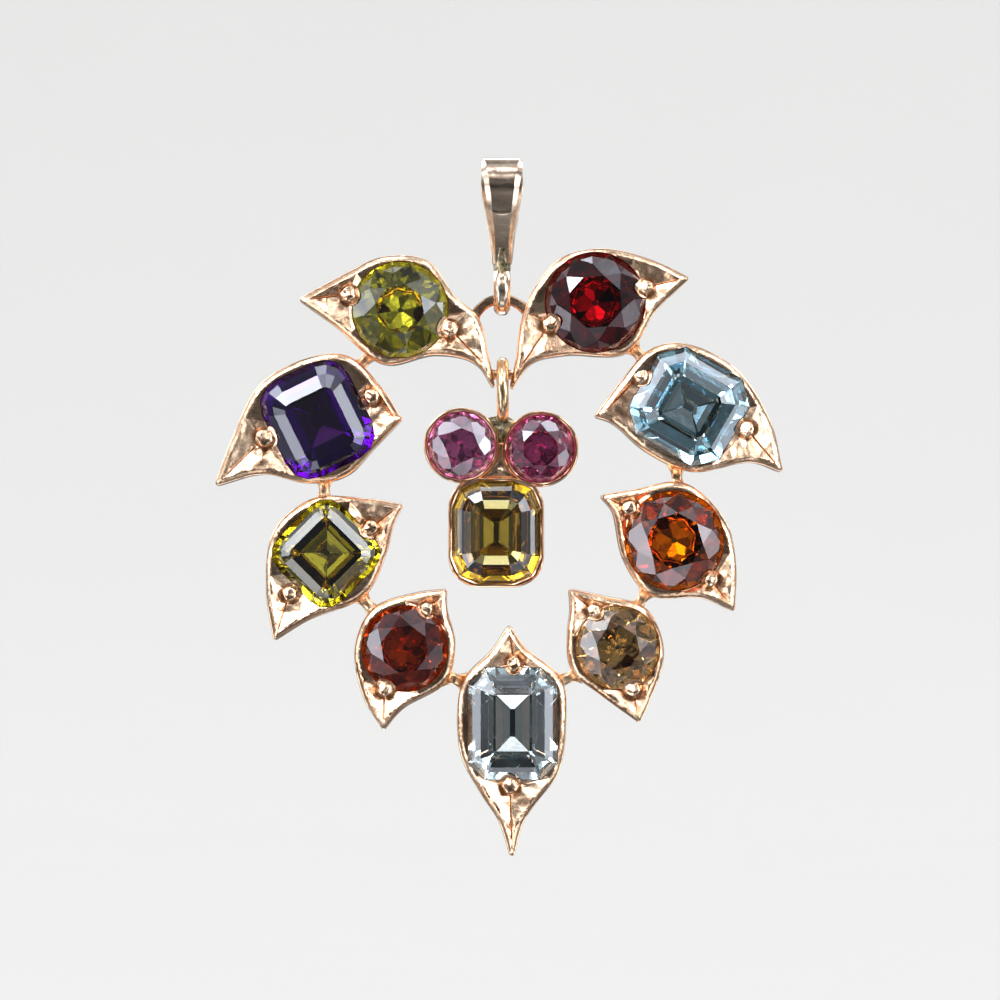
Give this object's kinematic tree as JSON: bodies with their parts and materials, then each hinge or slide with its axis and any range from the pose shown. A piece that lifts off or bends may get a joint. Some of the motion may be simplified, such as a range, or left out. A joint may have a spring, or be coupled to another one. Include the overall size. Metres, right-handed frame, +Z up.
{
  "type": "drop pendant",
  "caption": "Rose gold pendant: gem-set leaves joined in a heart that hangs from a folded bail, with a gem-set drop swinging in its middle.",
  "frame": {"origin": "inside top of the bail's fold, where the pendant hangs, midway across it", "axes": "+Z up as it hangs, -Y out of the face that the stones show, +X to the wearer's left along the bail's fold"},
  "size_m": [0.0426, 0.0052, 0.0526],
  "materials": {
    "bail_gold": "pale rose gold, hand polished, softly worn",
    "heart_gold": "rose gold, hand polished and bright cut, tarnished in the corners",
    "drop_gold": "rose gold, hand polished, tarnished round the solder",
    "olive_stone": "cut and polished gemstone",
    "garnet_stone": "cut and polished gemstone",
    "violet_stone": "cut and polished gemstone",
    "aqua_stone": "cut and polished gemstone",
    "orange_stone": "cut and polished gemstone",
    "rust_stone": "cut and polished gemstone",
    "champagne_stone": "cut and polished gemstone",
    "ice_stone": "cut and polished gemstone",
    "pink_stone": "cut and polished gemstone",
    "golden_stone": "cut and polished gemstone"
  },
  "bodies": {
    "bail": {"bail": "bail_gold"},
    "heart": {"heart_frame": "heart_gold", "stone_upper_left": "olive_stone", "stone_upper_right": "garnet_stone", "stone_left": "violet_stone", "stone_right": "aqua_stone", "stone_mid_left": "olive_stone", "stone_mid_right": "orange_stone", "stone_low_left": "rust_stone", "stone_low_right": "champagne_stone", "stone_bottom": "ice_stone"},
    "drop": {"drop_setting": "drop_gold", "drop_stone_left": "pink_stone", "drop_stone_right": "pink_stone", "drop_stone_lower": "golden_stone"}
  },
  "joints": [
    {"name": "heart_swing", "type": "hinge", "parent": "bail", "child": "heart", "pos_m": [0, 0, -0.01005], "axis": [1, 0, 0], "range_deg": [-80, 80]},
    {"name": "drop_swing", "type": "hinge", "parent": "heart", "child": "drop", "pos_m": [0, 0, -0.01575], "axis": [1, 0, 0], "range_deg": [-100, 100]}
  ]
}
